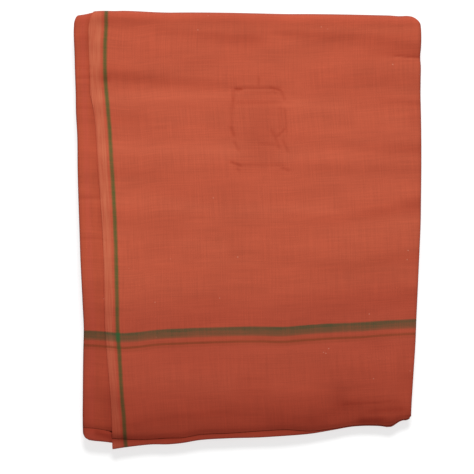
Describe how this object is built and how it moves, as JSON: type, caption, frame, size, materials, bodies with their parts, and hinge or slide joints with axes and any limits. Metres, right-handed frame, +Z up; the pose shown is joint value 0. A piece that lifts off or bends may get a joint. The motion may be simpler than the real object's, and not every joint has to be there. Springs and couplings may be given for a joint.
{
  "type": "folded dhoti cloth",
  "caption": "Plain woven cotton wrap cloth folded into a flat pile, with a free selvedge over the left fold, a rounded far fold and layered lower end.",
  "frame": {"origin": "middle of the pile's footprint, on the surface that it lies on", "axes": "+X towards the right fold, +Y along the pile towards its far fold, +Z up"},
  "size_m": [0.3463, 0.441, 0.0224],
  "materials": {
    "front_cotton": "matt plain weave cotton, saffron to rust, with a green warp stripe and a green cross band",
    "fold_cotton": "matt plain weave cotton, rust, with the cross band",
    "layer_cotton": "matt plain weave cotton seen at its folded and cut edges"
  },
  "bodies": {
    "root": {"front_panel": "front_cotton", "left_fold": "fold_cotton", "second_panel": "front_cotton", "second_fold": "fold_cotton", "core_layers": "layer_cotton"}
  },
  "joints": []
}
